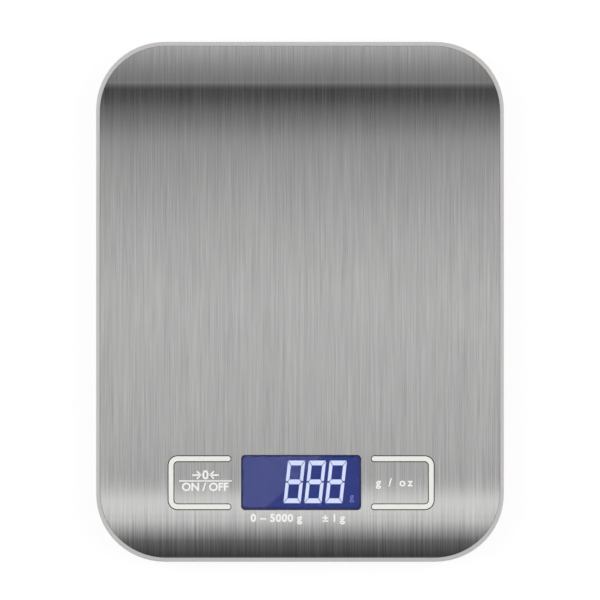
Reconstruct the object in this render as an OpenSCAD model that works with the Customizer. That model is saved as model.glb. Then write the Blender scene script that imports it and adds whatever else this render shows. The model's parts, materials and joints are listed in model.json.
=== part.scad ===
/* [Body] */
// Width of the scale, side to side
body_w = 180; // [170:1:210]
// Length of the scale, front to back
body_l = 230; // [220:1:270]
// Corner radius of the body, seen from above
corner_r = 30.3; // [26:0.1:34]
// Height of the casing's underside above the table
ground_gap = 2.2; // [1.6:0.1:3]
// Wall thickness of both shells
wall_t = 1.6; // [1.2:0.1:2]
// Thickness of the top shell's deck under the platform
deck_t = 1.2; // [1:0.1:1.8]
// Height of the top shell's side, from its rim to the split line
top_side_h = 6; // [5:0.1:6.5]
// Radius of the rounded outer edge of the rim
rim_edge_r = 1.1; // [0.8:0.1:1.3]
// How far the bottom shell draws in towards its underside
bottom_inset = 3; // [2:0.1:4]
// Radius of the bottom shell's lower edge
bottom_edge_r = 3; // [2:0.1:3.5]
// Step between the two shells at the split line
split_step = 0.25; // [0.1:0.05:0.4]
// Height of the locating lip inside the split line
lip_h = 1.2; // [0.8:0.1:1.6]
// Thickness of the locating lip
lip_t = 0.8; // [0.6:0.1:1]

/* [Platform] */
// Thickness of the steel platform
plate_t = 0.5; // [0.4:0.1:0.8]
// Thickness of the adhesive sheet under the platform
tape_t = 0.2; // [0.1:0.05:0.3]
// Width of the grey rim beside the platform, at the left and right
rim_side = 1.85; // [1.8:0.05:2.4]
// Width of the grey rim at the front and back
rim_end = 2; // [1.8:0.05:2.4]
// Corner radius of the platform
plate_corner_r = 29; // [25:0.1:32]
// Length of the curved stretch at each end of the platform
bend_l = 19; // [15:0.5:21]
// How far the platform's ends curve down
bend_drop = 3; // [1.5:0.1:3.4]
// How far the platform stands above the rim
plate_proud = 0.1; // [0:0.05:0.2]

/* [Keys] */
// Sideways shift of the keys and the display from the middle
controls_x = 0.5; // [-1:0.1:1]
// Distance of the keys' centre line from the front edge of the body
key_front = 35.2; // [35:0.1:38]
// Distance from the controls' middle to the root end of each key's slot
key_root_x = 30.7; // [30.5:0.1:32]
// Length of a key's slot outline, from root end to tip
key_l = 28.2; // [27:0.1:29]
// Width of a key's slot outline, front to back
key_w = 24.2; // [23:0.1:24.5]
// Width of the slot cut round a key
key_slot = 3; // [2.6:0.1:3.2]
// Outer corner radius of the slot
key_corner_r = 4.45; // [4:0.05:5]
// Gap between the slot's edge and the seal's rib
seal_gap = 0.425; // [0.3:0.025:0.5]
// Width of the seal's foot outside its rib
seal_foot_w = 2.1; // [1.5:0.1:2.3]
// Thickness of the seal's foot
seal_foot_t = 0.55; // [0.4:0.05:0.6]
// How far the seal's rib stays below the platform's face
seal_below = 0.15; // [0.1:0.05:0.3]
// Side of the square pad bonded under a key
actuator_w = 12; // [9:0.5:14]
// Thickness of that pad
actuator_t = 0.8; // [0.6:0.1:1]
// Diameter of the post that presses the switch
post_d = 5; // [4:0.1:5.5]
// Distance from the root of the key's slot to the switch
switch_u = 13.35; // [12:0.05:14.5]

/* [Switches] */
// Side of a switch's square body
switch_w = 6; // [5:0.1:6.2]
// Height of a switch's body
switch_h = 3.5; // [3:0.1:3.8]
// Diameter of the switch's plunger
plunger_d = 3.4; // [3:0.1:3.6]
// Height of the plunger above the switch
plunger_h = 1; // [0.7:0.1:1.2]

/* [Display] */
// Distance of the display's centre from the front edge of the body
window_front = 35.3; // [35:0.1:37]
// Width of the display window
window_w = 53.1; // [50:0.1:53.5]
// Height of the display window, front to back
window_l = 24.5; // [22:0.1:25]
// Corner radius of the display window
window_r = 1.9; // [1:0.1:2.5]
// Thickness of the display's lens
lens_t = 1.2; // [1:0.05:1.25]
// Thickness of the lens gasket
gasket_t = 0.15; // [0.1:0.05:0.2]
// Width of the ledge that carries the lens
ledge_w = 0.8; // [0.6:0.1:1.2]
// Thickness of each of the display's two glass plates
glass_t = 1.1; // [0.8:0.1:1.2]
// How far the glass reaches past the window's ledge on each side
glass_over = 2.3; // [1.5:0.1:2.5]
// Width of the contact edge where the front glass stands past the rear glass
contact_edge = 2.5; // [2.2:0.1:2.8]
// Thickness of the backlight panel
backlight_t = 2.5; // [2:0.1:2.8]
// Wall thickness of the display's holder
holder_wall = 1.3; // [1:0.1:1.4]

/* [Main board] */
// Space between the main board and the load cells beside it
board_side_gap = 2; // [1.5:0.1:2.5]
// Length of the main board, front to back
board_l = 39.5; // [39:0.5:40]
// Thickness of the main board
board_t = 1.6; // [1.2:0.1:1.8]
// Space between the floor and the main board
board_gap = 2.2; // [2:0.1:2.4]
// Diameter of the posts that carry the main board
board_post_d = 4.8; // [4.4:0.1:5]

/* [Feet] */
// Distance of a foot's centre from the side of the body
foot_side = 25; // [25:0.5:27]
// Distance of a foot's centre from the front or back of the body
foot_end = 29; // [28.5:0.5:30]
// Diameter of the rubber pad
pad_d = 18; // [16:0.5:18.5]
// Thickness of the rubber pad
pad_t = 1.2; // [1:0.1:1.4]
// Depth of the pocket that holds the pad
pad_pocket = 0.4; // [0.3:0.1:0.5]
// Diameter of the foot cup
foot_d = 20; // [19.5:0.1:20.5]
// Thickness of the flange that keeps the foot in the shell
foot_flange_t = 1; // [0.8:0.1:1.2]
// How far that flange reaches past the cup
foot_flange_w = 1.5; // [1.2:0.1:1.6]
// Diameter of the stud that presses on the load cell
stud_d = 7; // [6:0.1:8]

/* [Load cells] */
// Width of a load cell
cell_w = 24; // [23:0.5:24.5]
// Length of a load cell, front to back
cell_l = 29; // [28.5:0.5:30]
// Thickness of a load cell
cell_t = 1.2; // [1:0.1:1.4]
// Width of the beam in the middle of a load cell
beam_w = 10; // [9:0.5:12]
// Width of the slot round the beam
beam_slot = 1.2; // [1:0.1:1.6]
// Length of a strain gauge
gauge_l = 5; // [4:0.1:6]
// Width of a strain gauge
gauge_w = 3; // [2.5:0.1:4]

/* [Batteries] */
// Diameter of a battery
battery_d = 10.5; // [10:0.1:10.5]
// Length of a battery over its button
battery_l = 44.5; // [43:0.1:45]
// Diameter of a battery's button
button_d = 3.8; // [3:0.1:4]
// Height of a battery's button
button_h = 0.8; // [0.6:0.1:1]
// Length of a battery spring when a battery is in place
spring_l = 4; // [3.5:0.1:4.5]
// Diameter of the spring wire
spring_wire = 0.5; // [0.4:0.05:0.6]
// Thickness of the contact strips
contact_t = 0.4; // [0.3:0.05:0.5]
// Height of the pimple that meets a battery's button
pimple_h = 0.6; // [0.4:0.1:0.8]
// Thickness of the battery door
door_t = 1.2; // [1:0.1:1.3]
// Gap round the battery door
door_gap = 0.25; // [0.2:0.05:0.3]
// Distance from the middle to the back edge of the door's recess
door_back = 13.4; // [13.2:0.1:14]
// Distance from the middle to the front edge of the door's recess
door_front = 14.6; // [14.4:0.1:15]
// Thickness of the battery bay's walls
bay_wall = 1.2; // [1:0.1:1.4]
// Width of the door's latch
latch_w = 12; // [10:0.5:16]
// Thickness of the latch's arm
latch_t = 1; // [0.8:0.1:1]
// How far the latch's nose bites over the floor
latch_bite = 0.8; // [0.5:0.1:0.9]
// Depth of the finger notch in the floor in front of the latch
latch_notch = 1.6; // [1.3:0.1:2.5]

/* [Fasteners] */
// Diameter of the screws that close the case
case_screw_d = 2.6; // [2.2:0.1:2.8]
// Head diameter of the case screws
case_head_d = 5; // [4.5:0.1:5.2]
// Head height of the case screws
case_head_h = 1.8; // [1.4:0.1:2]
// Length of the case screws under the head
case_screw_l = 6; // [5:0.1:6.5]
// Diameter of the screws that hold the main board
board_screw_d = 2; // [1.8:0.1:2.2]
// Head diameter of the main board's screws
board_head_d = 3.8; // [3.4:0.1:4]
// Head height of the main board's screws
board_head_h = 1.3; // [1:0.1:1.5]
// Length of the main board's screws under the head
board_screw_l = 5; // [4:0.1:6]

/* [Wires] */
// Diameter of the insulated wires
wire_d = 0.9; // [0.7:0.1:1]
// Distance between neighbouring wires
wire_pitch = 1.2; // [1.1:0.1:1.3]

/* [Clearances] */
// Gap between pieces that are fitted together
fit_gap = 0.12; // [0.08:0.01:0.15]
// Gap round pieces that slide
slide_gap = 0.4; // [0.3:0.05:0.5]
// Radial gap round a screw in its threaded hole
thread_gap = 0.025; // [0.02:0.005:0.04]
// Gap left at the root of a key, where the sheet bends
hinge_gap = 0.03; // [0.02:0.01:0.05]
// Gap between a key's post and its switch
press_gap = 0.03; // [0.02:0.01:0.05]
// Gap between the batteries and what lies above and below them
battery_gap = 0.1; // [0.05:0.05:0.2]

/* [Hidden] */
$fn = 64;

cut = 1;            // overrun of a cut past the face that it leaves
plan_fn = 96;       // facets round a corner of the shells, seen from above
edge_fn = 20;       // facets round a rounded edge

// heights
floor_top = ground_gap + wall_t;
battery_z = ground_gap + door_t + battery_gap + battery_d / 2;
deck_under = battery_z + battery_d / 2 + battery_gap;
deck_top = deck_under + deck_t;
plate_under = deck_top + tape_t;
top_z = plate_under + plate_t;
rim_top = top_z - plate_proud;
split_z = rim_top - top_side_h;
board_under = floor_top + board_gap;
board_top = board_under + board_t;
cell_under = board_top - cell_t;
wire_gap = 0.05;
wire_z = board_top + wire_d / 2 + wire_gap;

// the platform's plan and the arc at its ends
plate_w = body_w - 2 * rim_side;
plate_l = body_l - 2 * rim_end;
bend_y = plate_l / 2 - bend_l;
bend_r = (bend_l * bend_l + bend_drop * bend_drop) / (2 * bend_drop);
tape_inset = 1;
tape_back = 0.6;

// keys
key_y = key_front - body_l / 2;
slot_mid = key_slot / 2;
tongue_l = key_l - key_slot;
tongue_v = key_w / 2 - key_slot;
switch_top = board_top + switch_h;
plunger_top = switch_top + plunger_h;
plunger_sunk = 0.6;
switch_well = 1.2;
plunger_gap = 0.05;
post_dome_r = 5.5;
seal_z = deck_top - seal_foot_t - 0.05;
tongue_room = 0.2;
root_room = 0.5;

// display
window_y = window_front - body_l / 2;
window_inner = [window_w - 2 * ledge_w, window_l - 2 * ledge_w];
glass_w = window_inner[0] + 2 * glass_over;
glass_l = window_inner[1] + 2 * glass_over;
lens_below = 0.05;
lens_gap = 0.15;
lens_under = top_z - lens_below - lens_t;
ledge_top = lens_under - gasket_t;
lcd_gap = 0.4;
front_glass_z = deck_under - lcd_gap - glass_t;
rear_glass_z = front_glass_z - glass_t;
backlight_z = rear_glass_z - backlight_t;
led_t = 1;
led_room = 0.2;
zebra_t = 1.8;
zebra_end = 1;
zebra_y = -(glass_l + contact_edge) / 2;
holder_rise = 0.2;
holder_w = glass_w + 2 * (fit_gap + holder_wall);
holder_l = glass_l + contact_edge + 2 * (fit_gap + holder_wall);
holder_y = window_y - contact_edge / 2;

// feet and load cells
foot_x = body_w / 2 - foot_side;
foot_y = body_l / 2 - foot_end;
seat_w = 2.4;
stud_gap = 0.05;
seat_gap = 0.1;
clamp_w = 14;
clamp_gap = 0.05;
foot_rest = 0.1;
pad_gap = 0.1;
flange_z = floor_top + foot_rest;
beam_nose = 6;
beam_root = 5.2;
cell_corner_r = 1.5;
gauge_y = 6.5;
gauge_t = 0.2;

// main board, placed under the keys and the display and between the front load cells
board_w = 2 * (foot_x - cell_w / 2 - board_side_gap - abs(controls_x));
board_y = holder_y;
board_corner_r = 1.5;
board_post = [board_w / 2 - 4, board_l / 2 - 2.9];
board_hole_gap = 0.2;

// what the board carries on its underside, with its place from the board's middle
chip_rise = 0.1;
leg_w = 0.45;
leg_l = 1;
adc_at = [24, 5];
adc_w = 10;
adc_l = 4;
adc_t = 1.5;
adc_legs = 8;
controller_at = [-6, 3];
controller_w = 10;
controller_t = 1.4;
controller_legs = 11;
crystal_at = [-22, 3];
crystal_w = 11;
crystal_l = 4.6;
crystal_t = 1.6;
capacitor_at = [12, -8];
capacitor_pitch = 5;
capacitor_w = 2;
capacitor_l = 1.2;
capacitor_t = 0.8;
capacitors = 5;

// battery bay
battery_y = battery_d / 2 + battery_gap;
bay_half = (battery_l + 2 * contact_t + pimple_h + spring_l) / 2;
minus_end = bay_half - contact_t - spring_l;
bay_back = door_back + 2.6;
bay_front = door_front + latch_notch + latch_bite + 1;
bay_foot = 0.2;
bay_top = deck_under - 0.1;
door_half = bay_half - 0.4;
door_seat = 0.05;
stop_w = 2.4;
stop_l = 1.6;
stop_h = 2;
contact_w = 8;
contact_h = 9;
pimple_d = 3;
pimple_tip_d = 2;
spring_base_r = 3.6;
spring_tip_r = 2.2;
spring_gap = 0.02;
latch_z = ground_gap + 6.8;
bow_z = latch_z + latch_t / 2 + hinge_gap;
latch_guard = battery_y + battery_d / 2 + 0.2;
nose_z = floor_top + 0.2;
nose_h = 1.2;
nose_rise = 0.5;
tab_x = 14;
tab_w = 8;
tab_over = 1.6;
tab_t = 1;
tab_gap = 0.15;
tab_z = floor_top + tab_gap;
latch_side_gap = 0.5;
notch_side_gap = 1;
guard_t = latch_t - 0.3;
tail_w = 1.8;
tail_gap = 0.3;
tail_top = wire_z - wire_d / 2;
tail_x = bay_half + bay_wall + 1.6;
tail_step = 1.4;

// wires
wire_on_board = 2;

// case screws
case_x = 40;
case_end = 10;
case_side = 12;
case_post_d = 7.4;
boss_d = 6.2;
post_top = floor_top + 4.2;
head_seat = ground_gap + 3;
head_gap = 0.4;
shank_gap = 0.2;
screw_room = 0.4;
case_places = [
    for (sx = [-1, 1]) for (sy = [-1, 0, 1])
        [sx * (sy == 0 ? body_w / 2 - case_side : case_x), sy * (body_l / 2 - case_end)]
];

// ---------- shared shapes ----------

module round_rect(w, l, r) {
    square([w - 2 * r, l], center = true);
    square([w, l - 2 * r], center = true);
    for (x = [-1, 1], y = [-1, 1])
        translate([x * (w / 2 - r), y * (l / 2 - r)])
            circle(r);
}

module round_block(w, l, r, z0, z1) {
    translate([0, 0, z0])
        linear_extrude(z1 - z0)
            round_rect(w, l, r);
}

// a block round the origin in plan, between two heights
module block(w, l, z0, z1) {
    translate([-w / 2, -l / 2, z0])
        cube([w, l, z1 - z0]);
}

module post(d, z0, z1) {
    translate([0, 0, z0])
        cylinder(d = d, h = z1 - z0);
}

// the body's outline drawn in by inset, as a prism
module body_prism(inset, z0, z1) {
    round_block(body_w - 2 * inset, body_l - 2 * inset, corner_r - inset, z0, z1);
}

module plate_prism(inset, z0, z1) {
    round_block(plate_w - 2 * inset, plate_l - 2 * inset, plate_corner_r - inset, z0, z1);
}

// everything under the surface that lies depth below the platform's face,
// flat in the middle and curved down at both ends
module under_crown(depth) {
    rotate([90, 0, 90])
        linear_extrude(1.2 * body_w, center = true) {
            translate([-bend_y, -cut])
                square([2 * bend_y, top_z - depth + cut]);
            for (s = [-1, 1])
                intersection() {
                    translate([s * bend_y, top_z - bend_r])
                        circle(bend_r - depth, $fn = 256);
                    translate([s > 0 ? bend_y : -bend_y - 2 * bend_l, -cut])
                        square([2 * bend_l, top_z + 2 * cut]);
                }
        }
}

// height of that surface's rounding centre at a distance y from the middle
function crown_z(y, depth) =
    abs(y) <= bend_y
        ? top_z - depth
        : top_z - bend_r + sqrt(pow(bend_r - depth, 2) - pow(abs(y) - bend_y, 2));

// puts a part drawn from root to tip along +X at the left (-1) or right (1) key
module at_key(side) {
    translate([controls_x, key_y, 0])
        mirror([side < 0 ? 1 : 0, 0, 0])
            translate([key_root_x, 0, 0])
                children();
}

// a flat tab from u0 to u1, half as wide as v says, with round corners at u1
module tab(u0, u1, v, r) {
    translate([u0, -v])
        square([u1 - r - u0, 2 * v]);
    translate([u1 - r, r - v])
        square([r, 2 * (v - r)]);
    for (s = [-1, 1])
        translate([u1 - r, s * (v - r)])
            circle(r);
}

// a tab that follows the slot's centre line at a distance
module key_tab(grow, u0 = slot_mid) {
    tab(u0, key_l - slot_mid + grow, key_w / 2 - slot_mid + grow, key_corner_r - slot_mid + grow);
}

module key_opening(grow = 0) {
    key_tab(slot_mid + grow);
    for (s = [-1, 1])
        translate([slot_mid, s * (key_w / 2 - slot_mid)])
            circle(slot_mid + grow);
}

module at_window() {
    translate([controls_x, window_y, 0])
        children();
}

module window_block(grow, z0, z1) {
    at_window()
        round_block(window_w + 2 * grow, window_l + 2 * grow, window_r + grow, z0, z1);
}

module at_foot(x, y) {
    translate([x * foot_x, y * foot_y, 0])
        children();
}

module at_board_posts() {
    for (x = [-1, 1], y = [-1, 1])
        translate([controls_x + x * board_post[0], board_y + y * board_post[1], 0])
            children();
}

module at_case_screws() {
    for (p = case_places)
        translate(p)
            children();
}

// ---------- casing ----------

module platform_plate() {
    color("silver")
        difference() {
            plate_prism(0, split_z, top_z + cut);
            difference() {
                plate_prism(-2 * cut, split_z - cut, top_z + 2 * cut);
                under_crown(0);
            }
            under_crown(plate_t);
            window_block(0, split_z, top_z + cut);
            for (side = [-1, 1])
                at_key(side)
                    translate([0, 0, split_z])
                        linear_extrude(top_side_h * 2)
                            key_opening();
        }
}

module plate_tape() {
    color("whitesmoke")
        difference() {
            intersection() {
                plate_prism(tape_inset, split_z, top_z + cut);
                under_crown(plate_t);
            }
            under_crown(plate_t + tape_t);
            window_block(tape_back, split_z, top_z + cut);
            for (side = [-1, 1])
                at_key(side)
                    translate([0, 0, split_z])
                        linear_extrude(top_side_h * 2)
                            key_opening(tape_back);
        }
}

// the top shell's outside: one rounded edge carried round the outline and over the curved ends
module top_shell_outside() {
    hull()
        for (sx = [-1, 1], sy = [-1, 1], a = [0:6:90]) {
            reach = corner_r - rim_edge_r;
            x = body_w / 2 - corner_r + reach * cos(a);
            y = body_l / 2 - corner_r + reach * sin(a);
            translate([sx * x, sy * y, crown_z(y, plate_proud + rim_edge_r)])
                sphere(rim_edge_r, $fn = edge_fn);
            translate([sx * x, sy * y, split_z])
                cylinder(r = rim_edge_r, h = 0.2, $fn = edge_fn);
        }
}

module deck_bosses() {
    intersection() {
        union() {
            at_case_screws()
                post(boss_d, post_top + fit_gap, top_z);
            at_board_posts()
                post(board_post_d, board_top, top_z);
            for (x = [-1, 1], y = [-1, 1], end = [-1, 1])
                at_foot(x, y)
                    translate([0, end * (cell_l / 2 - seat_w / 2), 0])
                        block(clamp_w, seat_w - 0.7, board_top + clamp_gap, top_z);
        }
        under_crown(plate_t + tape_t + deck_t / 2);
    }
}

module key_seats() {
    for (side = [-1, 1])
        at_key(side) {
            translate([0, 0, seal_z])
                linear_extrude(deck_t)
                    key_tab(slot_mid - seal_gap + seal_foot_w + fit_gap, seal_gap - fit_gap);
            translate([0, 0, split_z])
                linear_extrude(top_side_h * 2)
                    tab(slot_mid - root_room, tongue_l + tongue_room, tongue_v + tongue_room,
                        key_corner_r - key_slot + tongue_room);
        }
}

module top_shell() {
    color("gainsboro")
        difference() {
            union() {
                difference() {
                    top_shell_outside();
                    intersection() {
                        body_prism(wall_t, split_z - cut, top_z);
                        under_crown(plate_t + tape_t + deck_t);
                    }
                }
                deck_bosses();
            }
            difference() {
                plate_prism(-fit_gap, split_z, top_z + cut);
                under_crown(plate_t + tape_t);
            }
            key_seats();
            window_block(fit_gap, ledge_top, top_z + cut);
            at_window()
                block(window_inner[0], window_inner[1], split_z, top_z);
            at_case_screws()
                post(case_screw_d + 2 * thread_gap,
                     floor_top, head_seat + case_screw_l + screw_room);
            at_board_posts()
                post(board_screw_d + 2 * thread_gap,
                     board_under, board_under + board_screw_l + screw_room);
        }
}

// one of the bottom shell's two skins, drawn in by inset from the outside
module pan(inset, rise) {
    ring_r = corner_r - bottom_inset - bottom_edge_r;
    hull() {
        round_block(body_w - 2 * (split_step + inset), body_l - 2 * (split_step + inset),
                    corner_r - split_step - inset, split_z - 0.1, split_z + rise, $fn = plan_fn);
        for (x = [-1, 1], y = [-1, 1])
            translate([x * (body_w / 2 - corner_r), y * (body_l / 2 - corner_r),
                       ground_gap + bottom_edge_r])
                rotate_extrude($fn = plan_fn)
                    translate([ring_r, 0])
                        circle(bottom_edge_r - inset, $fn = edge_fn);
    }
}

module bay_walls() {
    difference() {
        translate([0, (bay_back - bay_front) / 2, 0])
            block(2 * (bay_half + bay_wall), bay_back + bay_front + 2 * bay_wall,
                  floor_top - bay_foot, bay_top);
        translate([0, (bay_back - bay_front) / 2, 0])
            block(2 * bay_half, bay_back + bay_front, ground_gap, deck_under);
        for (y = [-1, 1])
            translate([bay_half, y * battery_y, 0])
                block(4 * bay_wall, tail_w + 2 * tail_gap,
                      tail_top - contact_t - tail_gap, tail_top + tail_gap);
    }
    // corner blocks that stop the door from going in too far
    for (x = [-1, 1], y = [door_back - stop_l, stop_l - door_front])
        translate([x * (bay_half + bay_foot - stop_w / 2), y, 0])
            block(stop_w, stop_l, ground_gap + door_t + door_seat, floor_top + stop_h);
}

module bottom_shell() {
    color("gainsboro")
        difference() {
            union() {
                difference() {
                    pan(0, 0);
                    pan(wall_t, 2);
                }
                intersection() {
                    difference() {
                        body_prism(wall_t + fit_gap, split_z - 1.5, split_z + lip_h);
                        body_prism(wall_t + fit_gap + lip_t, split_z - 2, split_z + lip_h + cut);
                    }
                    under_crown(plate_t + tape_t + deck_t + fit_gap);
                }
                intersection() {
                    union() {
                        at_case_screws()
                            post(case_post_d, ground_gap + 0.5, post_top);
                        for (x = [-1, 1], y = [-1, 1], end = [-1, 1])
                            at_foot(x, y)
                                translate([0, end * ((cell_l - seat_w) / 2 + seat_gap), 0])
                                    block(cell_w - 2, seat_w - 2 * seat_gap,
                                          floor_top - bay_foot, cell_under);
                    }
                    pan(0.4, 0);
                }
            }
            for (x = [-1, 1], y = [-1, 1])
                at_foot(x, y)
                    post(foot_d + 2 * slide_gap, ground_gap - cut, floor_top + cut);
            translate([0, (door_back - door_front) / 2, 0])
                block(2 * (door_half + door_gap), door_back + door_front,
                      ground_gap - cut, floor_top + cut);
            translate([0, -door_front, 0])
                round_block(latch_w + 2 * notch_side_gap, 2 * latch_notch, latch_notch / 2,
                            ground_gap - cut, floor_top + cut);
            at_case_screws() {
                post(case_head_d + 2 * head_gap, ground_gap - cut, head_seat);
                post(case_screw_d + 2 * shank_gap, ground_gap, post_top + cut);
            }
        }
    color("gainsboro")
        bay_walls();
}

// ---------- keys ----------

module key_blade(side) {
    color("silver")
        at_key(side)
            translate([0, 0, plate_under])
                linear_extrude(plate_t)
                    tab(slot_mid + hinge_gap, tongue_l, tongue_v, key_corner_r - key_slot);
}

module key_actuator(side) {
    tip = plunger_top + press_gap;
    color("gainsboro")
        at_key(side)
            translate([switch_u, 0, 0]) {
                block(actuator_w, actuator_w, plate_under - actuator_t, plate_under);
                post(post_d, tip + 1, plate_under - actuator_t / 2);
                intersection() {
                    translate([0, 0, tip + post_dome_r])
                        sphere(post_dome_r);
                    post(post_d, tip - 1, tip + 1.2);
                }
            }
}

module key_seal(side) {
    rib = slot_mid - seal_gap;
    color("ivory")
        at_key(side) {
            translate([0, 0, seal_z])
                linear_extrude(seal_foot_t)
                    difference() {
                        key_tab(rib + seal_foot_w);
                        key_tab(-rib, 0);
                    }
            translate([0, 0, seal_z])
                linear_extrude(top_z - seal_below - seal_z) {
                    difference() {
                        key_tab(rib);
                        key_tab(-rib, 0);
                    }
                    for (s = [-1, 1])
                        translate([slot_mid, s * (key_w / 2 - slot_mid)])
                            circle(rib);
                }
        }
}

module switch_body(side) {
    color("dimgray")
        at_key(side)
            translate([switch_u, 0, 0])
                difference() {
                    block(switch_w, switch_w, board_top, switch_top);
                    post(plunger_d + 2 * plunger_gap, switch_top - switch_well, switch_top + cut);
                }
}

module switch_plunger(side) {
    color("black")
        at_key(side)
            translate([switch_u, 0, 0])
                post(plunger_d, switch_top - plunger_sunk, plunger_top);
}

// ---------- display ----------

module display_lens() {
    color("midnightblue")
        window_block(-lens_gap, lens_under, lens_under + lens_t);
}

module lens_gasket() {
    color("black")
        difference() {
            window_block(-lens_gap, ledge_top, lens_under);
            at_window()
                block(window_inner[0], window_inner[1], ledge_top - cut, lens_under + cut);
        }
}

module lcd_front_glass() {
    color("slateblue")
        at_window()
            translate([0, -contact_edge / 2, 0])
                block(glass_w, glass_l + contact_edge, front_glass_z, front_glass_z + glass_t);
}

module lcd_rear_glass() {
    color("slateblue")
        at_window()
            block(glass_w, glass_l, rear_glass_z, front_glass_z);
}

module backlight_panel() {
    color("white")
        at_window()
            translate([-led_t / 2, 0, 0])
                block(glass_w - led_t, glass_l, backlight_z, rear_glass_z);
}

module backlight_led() {
    color("lightyellow")
        at_window()
            translate([glass_w / 2 - led_t / 2, 0, 0])
                block(led_t, glass_l / 2, backlight_z, rear_glass_z - led_room);
}

module lcd_holder() {
    color("white")
        at_window()
            difference() {
                translate([0, -contact_edge / 2, 0])
                    block(holder_w, holder_l, board_top, front_glass_z + glass_t + holder_rise);
                block(glass_w + 2 * fit_gap, glass_l + 2 * fit_gap, backlight_z, deck_under);
                translate([0, -contact_edge / 2, 0])
                    block(glass_w + 2 * fit_gap, glass_l + contact_edge + 2 * fit_gap,
                          front_glass_z, deck_under);
                translate([0, zebra_y, 0])
                    block(glass_w - 2 * zebra_end, zebra_t + 2 * fit_gap,
                          board_top - cut, deck_under);
            }
}

module zebra_strip() {
    color("hotpink")
        at_window()
            translate([0, zebra_y, 0])
                block(glass_w - 2 * (zebra_end + fit_gap), zebra_t, board_top, front_glass_z);
}

// ---------- main board ----------

module main_board() {
    color("seagreen")
        difference() {
            translate([controls_x, board_y, 0])
                round_block(board_w, board_l, board_corner_r, board_under, board_top);
            at_board_posts()
                post(board_screw_d + 2 * board_hole_gap, board_under - cut, board_top + cut);
        }
}

module on_board(at) {
    translate([controls_x + at[0], board_y + at[1], 0])
        children();
}

// a flat chip under the board with a row of legs on two sides
module chip(w, l, t, legs) {
    pitch = w / legs;
    block(w, l, board_under - t, board_under - chip_rise);
    for (i = [0:legs - 1], s = [-1, 1])
        translate([(i + 0.5) * pitch - w / 2, s * (l / 2 + 0.4 * leg_l), 0])
            block(leg_w, leg_l, board_under - t / 2, board_under);
}

module adc_chip() {
    color("black")
        on_board(adc_at)
            chip(adc_w, adc_l, adc_t, adc_legs);
}

module controller_chip() {
    color("black")
        on_board(controller_at)
            chip(controller_w, controller_w, controller_t, controller_legs);
}

module crystal_can() {
    color("silver")
        on_board(crystal_at)
            round_block(crystal_w, crystal_l, 0.48 * crystal_l,
                        board_under - crystal_t, board_under);
}

module board_capacitors() {
    color("tan")
        for (i = [0:capacitors - 1])
            on_board(capacitor_at + [capacitor_pitch * i, 0])
                block(capacitor_w, capacitor_l, board_under - capacitor_t, board_under);
}

// ---------- load cells and feet ----------

// a flat spring plate: a frame round a beam that is rooted at its back edge
module load_cell(x, y) {
    color("lightsteelblue")
        at_foot(x, y)
            translate([0, 0, cell_under])
                linear_extrude(cell_t)
                    difference() {
                        round_rect(cell_w, cell_l, cell_corner_r);
                        difference() {
                            translate([-beam_w / 2 - beam_slot, -beam_nose - beam_slot])
                                square([beam_w + 2 * beam_slot,
                                        beam_slot + beam_nose + cell_l / 2 - beam_root]);
                            translate([-beam_w / 2, -beam_nose])
                                square([beam_w, cell_l]);
                        }
                    }
}

module strain_gauges() {
    color("orange")
        for (x = [-1, 1], y = [-1, 1])
            at_foot(x, y)
                translate([0, gauge_y, 0])
                    block(gauge_l, gauge_w, board_top, board_top + gauge_t);
}

module foot_cup(x, y) {
    color("dimgray")
        at_foot(x, y) {
            difference() {
                post(foot_d, pad_t - pad_pocket, flange_z + foot_flange_t);
                post(pad_d + 2 * pad_gap, pad_t - pad_pocket - cut, pad_t);
            }
            post(foot_d + 2 * foot_flange_w, flange_z, flange_z + foot_flange_t);
            post(stud_d, flange_z, cell_under - stud_gap);
        }
}

module foot_pad(x, y) {
    color("black")
        at_foot(x, y)
            post(pad_d, 0, pad_t);
}

// ---------- batteries ----------

// a battery whose plus end points to -X (dir -1) or +X (dir 1)
module battery(dir) {
    color("steelblue")
        translate([0, dir * battery_y, battery_z])
            rotate([0, dir * 90, 0]) {
                translate([0, 0, -minus_end])
                    cylinder(d = battery_d, h = battery_l - button_h);
                translate([0, 0, -minus_end])
                    cylinder(d = button_d, h = battery_l);
            }
}

// a contact strip standing against the bay's end wall
module contact_strip(side, y, w) {
    translate([side * (bay_half - contact_t / 2), y, 0])
        block(contact_t, w, battery_z - contact_h / 2, battery_z + contact_h / 2);
}

module pimple(side) {
    translate([side * (bay_half - contact_t), side * battery_y, battery_z])
        rotate([0, -side * 90, 0])
            cylinder(d1 = pimple_d, d2 = pimple_tip_d, h = pimple_h);
}

module bridge_contact() {
    color("gold") {
        contact_strip(-1, 0, 2 * battery_y + contact_w);
        pimple(-1);
    }
}

// the end of a contact that goes through the bay's wall to its wire
module solder_tail(y, wire_x) {
    translate([bay_half - contact_t / 2, y - tail_w / 2, tail_top - contact_t])
        cube([wire_x + wire_d - bay_half, tail_w, contact_t]);
}

module plus_contact() {
    color("gold") {
        contact_strip(1, battery_y, contact_w);
        pimple(1);
        solder_tail(battery_y, tail_x + tail_step);
    }
}

module minus_contact() {
    color("gold") {
        contact_strip(1, -battery_y, contact_w);
        solder_tail(-battery_y, tail_x);
    }
}

// points round a ring of a coil that narrows towards the battery
function coil_point(t, turns, k, sides) =
    let (
        a = 360 * turns * t,
        r = spring_base_r + (spring_tip_r - spring_base_r) * t,
        b = 360 * k / sides,
        rr = r + spring_wire / 2 * cos(b)
    )
    [
        spring_wire / 2 * (1 + sin(b)) + spring_gap + t * (spring_l - spring_wire - 2 * spring_gap),
        rr * cos(a),
        rr * sin(a)
    ];

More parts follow.
